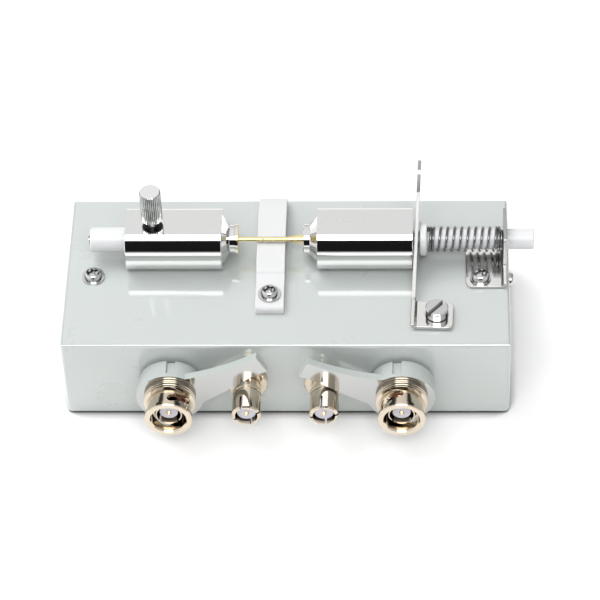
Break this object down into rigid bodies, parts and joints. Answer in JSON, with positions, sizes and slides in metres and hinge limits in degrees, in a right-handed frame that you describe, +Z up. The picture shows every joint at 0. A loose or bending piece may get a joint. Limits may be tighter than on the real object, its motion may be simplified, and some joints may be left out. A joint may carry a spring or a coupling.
{
  "type": "component test fixture",
  "caption": "Enamelled bench fixture that holds a chip component between two gold pins, with a sprung plunger, finger lever and a row of coaxial plugs.",
  "frame": {"origin": "centre of the box's underside, on the surface it rests on", "axes": "+X along the box towards the sprung plunger, +Y to the back, +Z up; the plugs point along -Y"},
  "size_m": [0.135, 0.0729, 0.0548],
  "materials": {
    "enamel": "glossy light grey enamel",
    "lock_enamel": "glossy light grey enamel on a casting",
    "block_plating": "bright plated, fine turning lines",
    "sheet_steel": "bright plated sheet",
    "fastener": "bright plated",
    "knurled": "plated, straight knurl",
    "spring_steel": "drawn wire",
    "plug_nickel": "bright warm nickel",
    "gold_plating": "gold plated",
    "white_plastic": "satin white, slightly translucent",
    "stage_plastic": "matte white machined",
    "plug_dielectric": "satin, faint lilac",
    "gasket_rubber": "dark red silicone",
    "lead_jacket": "black coaxial jacket"
  },
  "bodies": {
    "housing": {"cover_shell": "enamel", "base_plate": "enamel", "base_plate_screws": "fastener", "cover_screw": "fastener", "cover_screw_washer": "fastener", "side_screw": "fastener", "left_shield_block": "block_plating", "right_shield_block": "block_plating", "block_screws": "fastener", "left_nose_bush": "white_plastic", "left_guard_ring": "gold_plating", "right_nose_bush": "white_plastic", "plunger_guide_bush": "white_plastic", "contact_stage": "stage_plastic", "stage_screws": "fastener", "stage_washers": "fastener", "end_bracket": "sheet_steel", "bracket_screw": "fastener", "bracket_screw_washer": "fastener", "lever_pivot_screw": "fastener", "pivot_spacer": "fastener", "inner_nuts": "fastener", "return_spring": "spring_steel", "left_plug_body": "plug_nickel", "right_plug_body": "plug_nickel", "left_plug_insulator": "plug_dielectric", "right_plug_insulator": "plug_dielectric", "left_plug_pin": "gold_plating", "right_plug_pin": "gold_plating", "plug_gaskets": "gasket_rubber", "retaining_rings": "fastener", "friction_washers": "fastener", "left_sense_body": "plug_nickel", "right_sense_body": "plug_nickel", "left_sense_insulator": "plug_dielectric", "right_sense_insulator": "plug_dielectric", "left_sense_pin": "gold_plating", "right_sense_pin": "gold_plating", "plug_nuts": "plug_nickel", "plug_lock_washers": "fastener", "left_current_lead": "lead_jacket", "right_current_lead": "lead_jacket", "left_sense_lead": "lead_jacket", "right_sense_lead": "lead_jacket"},
    "left_lock": {"left_coupling_sleeve": "plug_nickel", "left_lock_lever": "lock_enamel"},
    "right_lock": {"right_coupling_sleeve": "plug_nickel", "right_lock_lever": "lock_enamel"},
    "thumbscrew": {"clamp_thumbscrew": "knurled"},
    "left_electrode": {"left_rod": "white_plastic", "left_contact_pin": "gold_plating", "left_end_screw": "fastener"},
    "plunger": {"plunger_rod": "white_plastic", "plunger_collar": "white_plastic", "right_contact_pin": "gold_plating"},
    "lever": {"finger_lever": "sheet_steel"}
  },
  "joints": [
    {"name": "left_lock_turn", "type": "hinge", "parent": "housing", "child": "left_lock", "pos_m": [-0.033, -0.03585, 0.014], "axis": [0, -1, 0], "range_deg": [0, 60]},
    {"name": "right_lock_turn", "type": "hinge", "parent": "housing", "child": "right_lock", "pos_m": [0.033, -0.03585, 0.014], "axis": [0, 1, 0], "range_deg": [0, 60]},
    {"name": "thumbscrew_turn", "type": "hinge", "parent": "housing", "child": "thumbscrew", "pos_m": [-0.0386, 0.0065, 0.0456], "axis": [0, 0, 1], "range_deg": [-180, 180]},
    {"name": "left_electrode_slide", "type": "slide", "parent": "housing", "child": "left_electrode", "axis": [1, 0, 0], "range_m": [-0.006, 0]},
    {"name": "lever_swing", "type": "hinge", "parent": "housing", "child": "lever", "pos_m": [0.043, -0.018, 0.0294], "axis": [0, 0, -1], "range_deg": [0, 15], "stiffness_Nm_per_rad": 0.13, "springref_deg": -7.79},
    {"name": "plunger_slide", "type": "slide", "parent": "housing", "child": "plunger", "axis": [1, 0, 0], "range_m": [0, 0.00772], "deforming": ["return_spring"]}
  ],
  "couplings": [
    {"joint": "plunger_slide", "follows": "lever_swing", "m_per_rad": 0.02939}
  ]
}
